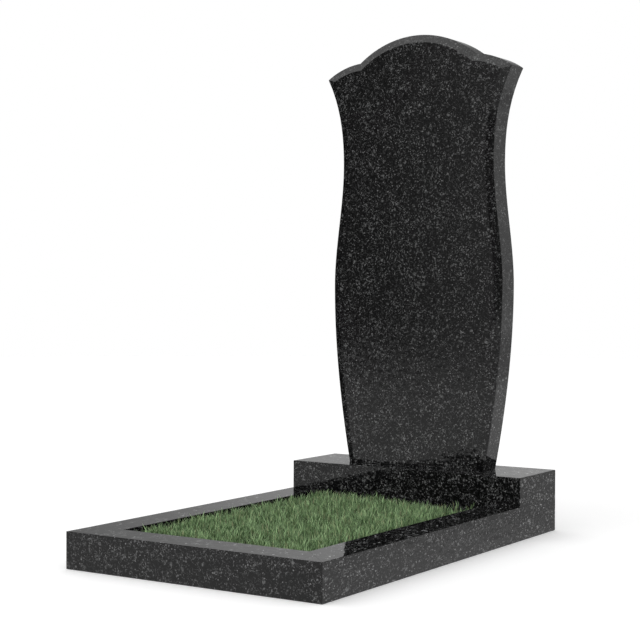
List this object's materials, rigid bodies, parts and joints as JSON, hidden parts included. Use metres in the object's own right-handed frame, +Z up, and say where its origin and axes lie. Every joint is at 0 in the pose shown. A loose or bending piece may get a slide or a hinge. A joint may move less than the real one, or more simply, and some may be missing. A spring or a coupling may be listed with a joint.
{
  "type": "headstone with plinth, kerb and turf",
  "caption": "Polished dark granite headstone: a slab with curved sides and an arched, notched top on a plinth, with a mitred kerb round a bed of turf.",
  "frame": {"origin": "on the ground, in the middle of the plan of plinth and kerb", "axes": "+Z up, +Y from the foot end towards the plinth and stele, +X to the right of someone who faces the stele's front"},
  "size_m": [0.6, 0.986, 1.1419],
  "materials": {
    "granite": "polished",
    "turf": "matte"
  },
  "bodies": {
    "root": {"stele": "granite", "plinth": "granite", "kerb_front": "granite", "kerb_left": "granite", "kerb_right": "granite", "turf": "turf"}
  },
  "joints": []
}
